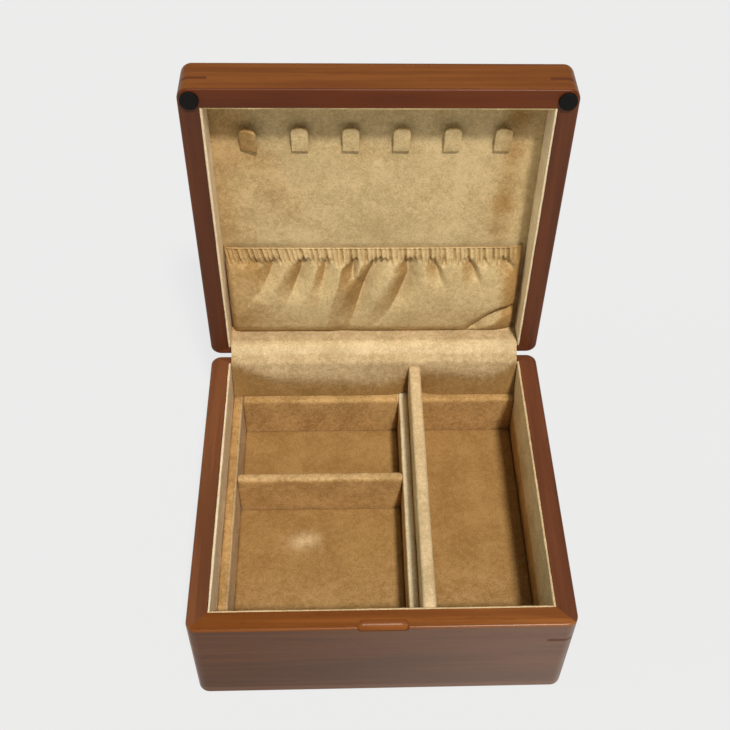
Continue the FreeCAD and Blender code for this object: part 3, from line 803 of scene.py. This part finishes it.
def necklace_hooks(material):
    """Copies of the tab, each leaning out of the lid's panel; the first stands a little askew."""
    tab = hook_tab()
    for number in range(1, HOOK_COUNT + 1):
        node = f"necklace_hook_{number}"
        low, high = shut_box(node)
        piece = tab.copy()
        piece.data = tab.data.copy()
        piece.name = node + "_cloth"
        bpy.context.scene.collection.objects.link(piece)
        foot = Vector(((low.x + high.x) / 2, high.y, PANEL_Z * MM))
        askew = HOOK_TWIST if number == 1 else 0.0
        turn = Matrix.Rotation(HOOK_LEAN + ASKEW_LEAN * askew, 4, "X") @ Matrix.Rotation(askew, 4, "Y")
        piece.matrix_world = Matrix.Translation(foot) @ turn
        only(piece)
        bpy.ops.object.transform_apply(location=True, rotation=True, scale=True)
        swing_open(piece)
        smooth(piece)
        lid_nap_and_painted_shade(piece, ASKEW_HOOK_PAINTED_SHADE if number == 1 else 1.0)
        dress(piece, node, "lid", material)
    bpy.data.objects.remove(tab)


def cloth_sheet(name, places):
    """A sheet through rows of places, in metres."""
    rows, columns = places.shape[:2]
    faces = []
    for row in range(rows - 1):
        for column in range(columns - 1):
            first = row * columns + column
            faces.append((first, first + 1, first + columns + 1, first + columns))
    mesh = bpy.data.meshes.new(name)
    mesh.from_pydata(places.reshape(-1, 3).tolist(), [], faces)
    piece = bpy.data.objects.new(name, mesh)
    bpy.context.scene.collection.objects.link(piece)
    return piece


def beside_line(across, up, line):
    """How far each place lies to the right of a line, and how far along the line it is."""
    nearest = np.full(np.shape(across), np.inf)
    offset = np.zeros(np.shape(across))
    along = np.zeros(np.shape(across))
    lengths = [math.dist(a, b) for a, b in zip(line, line[1:])]
    passed = 0.0
    for (xa, ya), (xb, yb), length in zip(line, line[1:], lengths):
        run_x = (xb - xa) / length
        run_y = (yb - ya) / length
        reach = np.clip((across - xa) * run_x + (up - ya) * run_y, 0, length)
        dx = across - xa - reach * run_x
        dy = up - ya - reach * run_y
        distance = np.hypot(dx, dy)
        nearer = distance < nearest
        nearest = np.where(nearer, distance, nearest)
        offset = np.where(nearer, np.copysign(distance, run_x * dy - run_y * dx), offset)
        along = np.where(nearer, (passed + reach) / sum(lengths), along)
        passed += length
    return offset, along


def pocket_crease(across, up, depth, left, right, end_share, line):
    """A crease: cloth that falls to a sharp hollow from both sides, fading towards its lower end."""
    offset, along = beside_line(across, up, line)
    distance = np.sqrt(offset ** 2 + CREASE_SOFT ** 2) - CREASE_SOFT
    fanned = left * (CREASE_FAN + CREASE_FAN_GROWTH * along)
    steep = np.clip(1 - distance / fanned, 0, 1) ** STEEP_CURVE
    gentle = np.clip(1 - distance / right, 0, 1) ** GENTLE_CURVE
    strength = 1 - (1 - end_share) * ease((along - CREASE_FADE_FROM) / (1 - CREASE_FADE_FROM))
    below_gathers = ease((CREASE_TOP - up) / CREASE_GROWTH)
    return -depth * np.where(offset < 0, steep, gentle) * strength * below_gathers


def pocket_standing(up):
    """How far the pocket stands out from the panel: a belly over the seam, drawn in to a rolled hem."""
    to_belly = np.clip(up / BELLY_UP, 0, 1)
    to_hem = np.clip((up - BELLY_UP) / (POCKET_TOP - BELLY_UP), 0, 1)
    lower = SEAM_OUT + (BELLY_OUT - SEAM_OUT) * np.sin(np.pi / 2 * to_belly)
    upper = HEM_OUT + (BELLY_OUT - HEM_OUT) * np.cos(np.pi / 2 * to_hem) ** BELLY_CURVE
    billow = BILLOW * np.sin(np.pi * np.clip((up - BILLOW_FROM) / BILLOW_RUN, 0, 1))
    half_hem = HEM_HEIGHT / 2
    roll = HEM_ROLL * np.clip(1 - ((up - POCKET_TOP + half_hem) / half_hem) ** 2, 0, 1)
    return np.where(up < BELLY_UP, lower, upper) + billow + roll


def pleats(across, up):
    """Small gathers under the hem, leaning at the left: rounded backs, and hollows deeper lower down."""
    lean = -LEFT_LEAN * ease((-across - LEFT_LEAN_FROM) / LEFT_LEAN_RUN) - PLEAT_LEAN
    moved = sum(size * np.sin(pace * across + start) for size, pace, start in SPACING_WAVES)
    turn = (across + moved + lean * (LEAN_FROM - up)) / PLEAT_PITCH
    number = np.floor(turn + 0.5)
    hollow = (0.5 + 0.5 * np.cos(2 * np.pi * turn)) ** PLEAT_CURVE
    depth = PLEAT_DEPTH * (DEPTH_LEVEL + DEPTH_WAVE * np.sin(DEPTH_PACE * number))
    bottom = PLEAT_BOTTOM + BOTTOM_WAVE * np.sin(BOTTOM_PACE * number)
    above_bottom = ease((up - bottom + PLEAT_FADE) / PLEAT_FADE)
    hem_line = POCKET_TOP - HEM_HEIGHT
    below_hem = ease((hem_line + PLEAT_HEM_GAP - up) / PLEAT_HEM_RUN)
    deepening = PLEAT_TOP_SHARE + (1 - PLEAT_TOP_SHARE) * ease((hem_line - up) / PLEAT_DEEPENS)
    return -depth * hollow * above_bottom * below_hem * deepening


def pocket_painted_shade(piece):
    """The pocket is painted browner where it turns down or right, in its hollows, at its hem and at both
    ends: painted shade and shadow.
    """
    shares = []
    for vertex in piece.data.vertices:
        outward = vertex.normal if vertex.normal.y < 0 else -vertex.normal
        across = vertex.co.x / MM
        up = vertex.co.z / MM - SEAM_REST_Z
        below = 1 - ease((up - PLEAT_BOTTOM + PLEAT_FADE) / PLEAT_FADE)
        turned = below * TURNED_PAINTED_SHADE * (POCKET_UP_PAINTED_LIGHT * outward.z - POCKET_RIGHT_PAINTED_SHADE * outward.x)
        hollow = -HOLLOW_PAINTED_SHADE * float(pleats(across, up))
        at_hem = HEM_PAINTED_SHADOW * ease((up - POCKET_TOP + HEM_HEIGHT + PLEAT_HEM_GAP) / HEM_SHADOW_RUN)
        to_right = ease((vertex.co.x - LID_DARK_FROM) / LEFT_END_RUN)
        left_end = LEFT_END_SHADED_SHARE + (1 - LEFT_END_SHADED_SHARE) * to_right
        right_end = 1 - RIGHT_DARK * ease((across - RIGHT_DARK_FROM) / RIGHT_DARK_FADE)
        share = POCKET_LIGHT_LEVEL + PLEAT_PAINTED_LIGHT * (1 - below) + turned - hollow - at_hem - nap_and_shadow_darkening(vertex.co)
        shares.append(np.clip(share, 0, 1) * left_end * right_end)
    nap_and_painted_light(piece, shares)


def gathered_pocket(material):
    """The pocket's cloth: pleated along its elastic, with creases that fan out below."""
    plain = np.linspace(0, POCKET_TOP - GATHER_HEIGHT, POCKET_ROWS - GATHER_ROWS, endpoint=False)
    gathers = np.linspace(POCKET_TOP - GATHER_HEIGHT, POCKET_TOP, GATHER_ROWS)
    level = np.concatenate([plain, gathers])[:, None]
    across = np.linspace(POCKET_LEFT, POCKET_RIGHT, POCKET_COLUMNS)[None, :] + 0 * level
    level = level + 0 * across
    out = pocket_standing(level)
    for crease in POCKET_CREASES:
        out = out + pocket_crease(across, level, *crease)
    out = out + pleats(across, level)
    left = np.clip((across - POCKET_LEFT) / LEFT_RUN, 0, 1)
    right = np.clip((POCKET_RIGHT - across) / RIGHT_RUN, 0, 1)
    drawn = np.sqrt(1 - (1 - left) ** 2) * np.sqrt(1 - (1 - right) ** 2)
    out = SIDE_OUT + np.maximum(out - SIDE_OUT, LEAST_OUT) * drawn
    sag = POCKET_SAG * (1 - (across / POCKET_RIGHT) ** 2)
    up = level * (1 - sag / POCKET_TOP)
    places = np.stack([across, POCKET_SEAM_Y - up, PANEL_Z - out], axis=-1) * MM
    piece = cloth_sheet("pocket_cloth_gathered", places)
    use(piece, "SOLIDIFY", thickness=POCKET_THICK * MM, offset=-1)
    swing_open(piece)
    smooth(piece)
    pocket_painted_shade(piece)
    dress(piece, "pocket_cloth", "lid", material)
    elastic = pocket_elastic()


def pocket_elastic():
    """The woven band behind the pocket's hem, rippled where it draws the cloth together."""
    low, high = shut_box("pocket_elastic")
    across = np.linspace(low.x, high.x, ELASTIC_COLUMNS)[None, :]
    up = np.linspace(low.y, high.y, ELASTIC_ROWS)[:, None]
    ripple = ELASTIC_RIPPLE * np.sin(2 * np.pi * across / (PLEAT_PITCH * MM))
    depth = (low.z + high.z) / 2 + ripple + 0 * up
    places = np.stack([across + 0 * up, up + 0 * across, depth], axis=-1)
    piece = cloth_sheet("pocket_elastic_band", places[::-1])
    use(piece, "SOLIDIFY", thickness=high.z - low.z - ELASTIC_CLEAR, offset=0)
    swing_open(piece)
    smooth(piece)
    dress(piece, "pocket_elastic", "lid", elastic_weave())
    return piece


def strip_path():
    """The strip's run back and up, from the lid's lining to the base's ledge, with its bends softened."""
    way = np.array(STRIP_PATH)
    steps = np.concatenate([[0], np.cumsum(np.hypot(*np.diff(way, axis=0).T))])
    along = np.linspace(0, steps[-1], STRIP_ROWS)
    back = np.interp(along, steps, way[:, 0])
    up = np.interp(along, steps, way[:, 1])
    kernel = np.array(PATH_SMOOTHING) / sum(PATH_SMOOTHING)
    for _ in range(SMOOTHING_ROUNDS):
        back[2:-2] = np.convolve(back, kernel, "valid")
        up[2:-2] = np.convolve(up, kernel, "valid")
    return back, up


def strip_tones(piece):
    """The strip is browner below its bulges, and palest over the hinges."""
    swags = np.array(STRIP_SWAGS)
    shares = []
    for vertex in piece.data.vertices:
        across, back, up = vertex.co / MM
        lower_edge = np.interp(across, swags[:, 0], swags[:, 1])
        hanging = ease((up - lower_edge + STRIP_BROWN_REACH) / (2 * STRIP_BROWN_REACH))
        in_lid = ease((back - HINGE_PALE_Y) / HINGE_PALE_FALL)
        over_hinges = ease((up - HINGE_PALE_Z) / HINGE_PALE_RISE) * (1 - in_lid)
        shares.append(hanging * (STRIP_HANGING_SHARE + (1 - STRIP_HANGING_SHARE) * over_hinges))
    nap_and_painted_light(piece, shares)


def hinge_strip(material):
    """The cloth strip from the lid's lining over the hinges and down the base's lining."""
    back, up = strip_path()
    across = np.linspace(-STRIP_HALF, STRIP_HALF, STRIP_COLUMNS)[None, :]
    back = back[:, None] + 0 * across
    up = up[:, None] + 0 * across
    swags = np.array(STRIP_SWAGS)
    lower_edge = np.interp(across, swags[:, 0], swags[:, 1])
    stands_out = SWAG_SHARE * np.interp(across, swags[:, 0], swags[:, 2])
    below_edge = ease((STRIP_EDGE_Z - SWAG_TOP_GAP - up) / SWAG_GROWTH)
    above_swag = ease((up - lower_edge + SWAG_EDGE_REACH) / (2 * SWAG_EDGE_REACH))
    back = back - stands_out * below_edge * above_swag
    clear_of_divider = 1 - np.exp(-((across - DIVIDER_MIDDLE) / DIVIDER_REACH) ** 2)
    back = back - STRIP_FORWARD * clear_of_divider * ease((STRIP_EDGE_Z - up) / FORWARD_RUN)
    places = np.stack([across + 0 * up, back, up], axis=-1) * MM
    piece = cloth_sheet("hinge_cover_strip_cloth", places[::-1])
    use(piece, "SOLIDIFY", thickness=STRIP_THICK * MM, offset=0)
    smooth(piece)
    strip_tones(piece)
    piece.data.materials.append(material)
    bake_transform(piece)
    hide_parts("hinge_cover_strip")


def make_camera():
    """The photograph's camera."""
    data = bpy.data.cameras.new("camera")
    data.lens = LENS
    data.sensor_width = SENSOR
    data.shift_x, data.shift_y = CAMERA_SHIFT
    data.clip_start = CAMERA_NEAR
    camera = bpy.data.objects.new("camera", data)
    bpy.context.scene.collection.objects.link(camera)
    cos_pitch = math.cos(CAMERA_PITCH)
    ahead_x = math.sin(CAMERA_YAW) * cos_pitch
    ahead_y = math.cos(CAMERA_YAW) * cos_pitch
    ahead = Vector((ahead_x, ahead_y, -math.sin(CAMERA_PITCH)))
    level = Vector((math.cos(CAMERA_YAW), -math.sin(CAMERA_YAW), 0))
    above = level.cross(ahead)
    right = level * math.cos(CAMERA_ROLL) + above * math.sin(CAMERA_ROLL)
    up = above * math.cos(CAMERA_ROLL) - level * math.sin(CAMERA_ROLL)
    camera.matrix_world = Matrix((right, up, -ahead)).transposed().to_4x4()
    camera.location = CAMERA_PLACE
    bpy.context.scene.camera = camera


def add_lamp(name, travel, strength, spread, colour):
    """A far lamp whose light travels one way."""
    data = bpy.data.lights.new(name, "SUN")
    data.energy = strength
    data.angle = spread
    data.color = colour
    lamp = bpy.data.objects.new(name, data)
    lamp.rotation_euler = Vector(travel).to_track_quat("-Z", "Y").to_euler()
    bpy.context.scene.collection.objects.link(lamp)


def make_light():
    """Two lamps and an even surround."""
    add_lamp("lamp", LAMP_TRAVEL, LAMP_STRENGTH, LAMP_SPREAD, LAMP_COLOUR)
    add_lamp("fill", FILL_TRAVEL, FILL_STRENGTH, FILL_SPREAD, FILL_COLOUR)
    world = bpy.data.worlds.new("surround")
    world.use_nodes = True
    bpy.context.scene.world = world
    sky = world.node_tree.nodes["Background"].inputs
    sky["Color"].default_value = (*SURROUND_COLOUR, 1)
    sky["Strength"].default_value = SURROUND


def make_floor():
    """A pale floor: the camera sees an even glow with a little of the lit surface, and so of the shadow."""
    bpy.ops.object.select_all(action="DESELECT")
    bpy.ops.mesh.primitive_plane_add(size=FLOOR_SIZE)
    floor = bpy.context.object
    floor.name = "floor"
    finish = Finish("pale_floor")
    colour = (BACKGROUND, BACKGROUND, BACKGROUND, 1)
    lit = finish.node("ShaderNodeBsdfDiffuse", {"Color": colour})
    glow = finish.node("ShaderNodeEmission", {"Color": colour})
    seen = finish.node("ShaderNodeLightPath", output="Is Camera Ray")
    finish.node_out(finish.node("ShaderNodeMixShader", {0: BACKGROUND_GLOW * seen, 1: lit, 2: glow}))
    floor.data.materials.append(finish.material)


def tinted(tones, red, green, blue):
    """Tones with more or less of each colour."""
    return [(red * r, green * g, blue * b) for r, g, b in tones]


def finish_woodwork():
    """Grain along each board, with its own stretch of timber."""
    lid_side = tinted(RED, 0.80, 0.71, 0.56)
    boards = {
        "base_back_wall": ("x", RED, 0.3),
        "base_left_wall": ("y", tinted(RED, 1.25, 1.4, 1.35), 0.3),
        "base_right_wall": ("y", RED, 0.3),
        "lid_top_board": ("x", ORANGE, 0.25),
        "lid_back_wall": ("x", RED, 0.3),
        "lid_left_wall": ("z", lid_side, 0.22),
        "lid_right_wall": ("z", lid_side, 0.22),
    }
    for number, (node, (along, tones, gloss)) in enumerate(boards.items()):
        offset = [number * step for step in TIMBER_STEP]
        finish_node(node, lacquered_wood(node + "_wood", along, tones, offset, gloss))
    # The base's front: darker tones that are partly painted shade, a painted lighter rim and notch, and a
    # painted reflection towards the right
    front = lacquered_wood("base_front_wall_wood", "x", DARK_AND_SHADED, (4, 2, 6), gloss=0.12,
                           edge=base_rim, edge_tones=PAINTED_LIT_RIM, painted_reflection=FRONT_PAINTED_REFLECTION)
    bottom = lacquered_wood("base_bottom_board_wood", "x", DARK_AND_SHADED, (8, 5, 7), gloss=0.2, painted_reflection=FRONT_PAINTED_REFLECTION)
    deep_orange = tinted(ORANGE, 0.52, 0.32, 0.06)
    lid_front = lacquered_wood("lid_front_wall_wood", "x", ORANGE, (6, 1, 9), gloss=0.25,
                               edge=lid_rim, edge_tones=deep_orange)
    lighter_keys = tinted(KEYS, 1.5, 1.5, 1.4)
    base_keys = lacquered_wood("base_keys_wood", "x", KEYS, (5, 3, 1), gloss=0.15)
    lid_keys = lacquered_wood("lid_keys_wood", "x", lighter_keys, (3, 5, 2), gloss=0.15)
    finish_node("base_front_wall", front)
    finish_node("base_bottom_board", bottom)
    finish_node("lid_front_wall", lid_front)
    finish_node("base_mitre_keys", base_keys)
    finish_node("lid_mitre_keys", lid_keys)


def finish_node(node, material):
    """Gives a CAD node that shows as it is its material."""
    mesh = frame["nodes"][node].data
    mesh.materials.clear()
    mesh.materials.append(material)


def finish_hardware():
    """Brass hinges, steel screws and black rubber dots."""
    brass = plain_metal("hinge_brass", (0.50, 0.33, 0.12), (0.72, 0.52, 0.24))
    steel = plain_metal("screw_steel", (0.42, 0.41, 0.39), (0.62, 0.61, 0.58))
    black = rubber()
    for side in ("left", "right"):
        for node in ("hinge_base_leaf_", "hinge_lid_leaf_", "hinge_pin_"):
            finish_node(node + side, brass)
        finish_node("bumper_" + side, black)
    finish_node("hinge_base_screws", steel)
    finish_node("hinge_lid_screws", steel)


def line_base():
    """Cloth on the base's walls, ledges, partitions and floors."""
    lining = suede("lining_suede", *BASE_PALE, deep=BASE_DEEP)
    plain_lining = suede("plain_lining_suede", *BASE_PALE, offset=(4, 6, 1))
    floors = suede("floor_suede", *BASE_PALE, offset=(3, 1, 2), deep=FLOOR_DEEP)
    # Painted light: a lighter copy of the cloth for the left side and the ledge beside the tall partition
    painted_lit_base_sides = suede("base_side_suede_painted_light", *PAINTED_LIT_SUEDE, (5, 2, 8), BASE_DEEP)
    covered_board("base_liner_front", LINER_EDGE, plain_lining)
    covered_board("base_liner_right", LINER_EDGE, lining, deep_below=RIGHT_DEEP_BELOW)
    covered_board("base_liner_left", LINER_EDGE, painted_lit_base_sides)
    covered_board("base_liner_back", LINER_EDGE, lining)
    for side in ("front", "back", "left"):
        covered_board("left_frame_" + side, FRAME_EDGE, lining, ledge_share=0.12)
    covered_board("left_frame_right", FRAME_EDGE, painted_lit_base_sides, ledge_share=1.0)
    for side in ("front", "back"):
        covered_board("right_frame_" + side, FRAME_EDGE, lining, ledge_share=0.08)
    covered_board("cross_divider", FRAME_EDGE, lining, ledge_share=0.38)
    covered_divider(lining)
    for place in ("left_rear", "left_front", "right"):
        floor_pad("floor_pad_" + place, floors)


def line_lid():
    """Cloth on the lid's panel and walls, its hooks and pocket, and the strip over the hinges."""
    lining = suede("lid_suede", *LID_PALE, (7, 5, 3), LID_BROWN)
    strip = suede("strip_suede", *STRIP_PALE, (2, 8, 4), STRIP_BROWN)
    hooks = suede("hook_suede", *HOOK_PALE, (1, 4, 9), LID_BROWN)
    for side in ("front", "back"):
        covered_lid_board("lid_liner_" + side, LINER_EDGE, lining)
    # Painted light: a lighter copy of the cloth for the lid's side walls
    painted_lit_lid_sides = suede("lid_side_suede_painted_light", *PAINTED_LIT_SUEDE, (5, 2, 8))
    for side in ("left", "right"):
        covered_lid_board("lid_liner_" + side, LINER_EDGE, painted_lit_lid_sides)
    covered_lid_board("lid_liner_panel", LINER_EDGE, lining)
    necklace_hooks(hooks)
    gathered_pocket(lining)
    hinge_strip(strip)


make_camera()
make_light()
make_floor()
finish_woodwork()
finish_hardware()
line_base()
line_lid()

bpy.context.scene.view_settings.view_transform = "Standard"
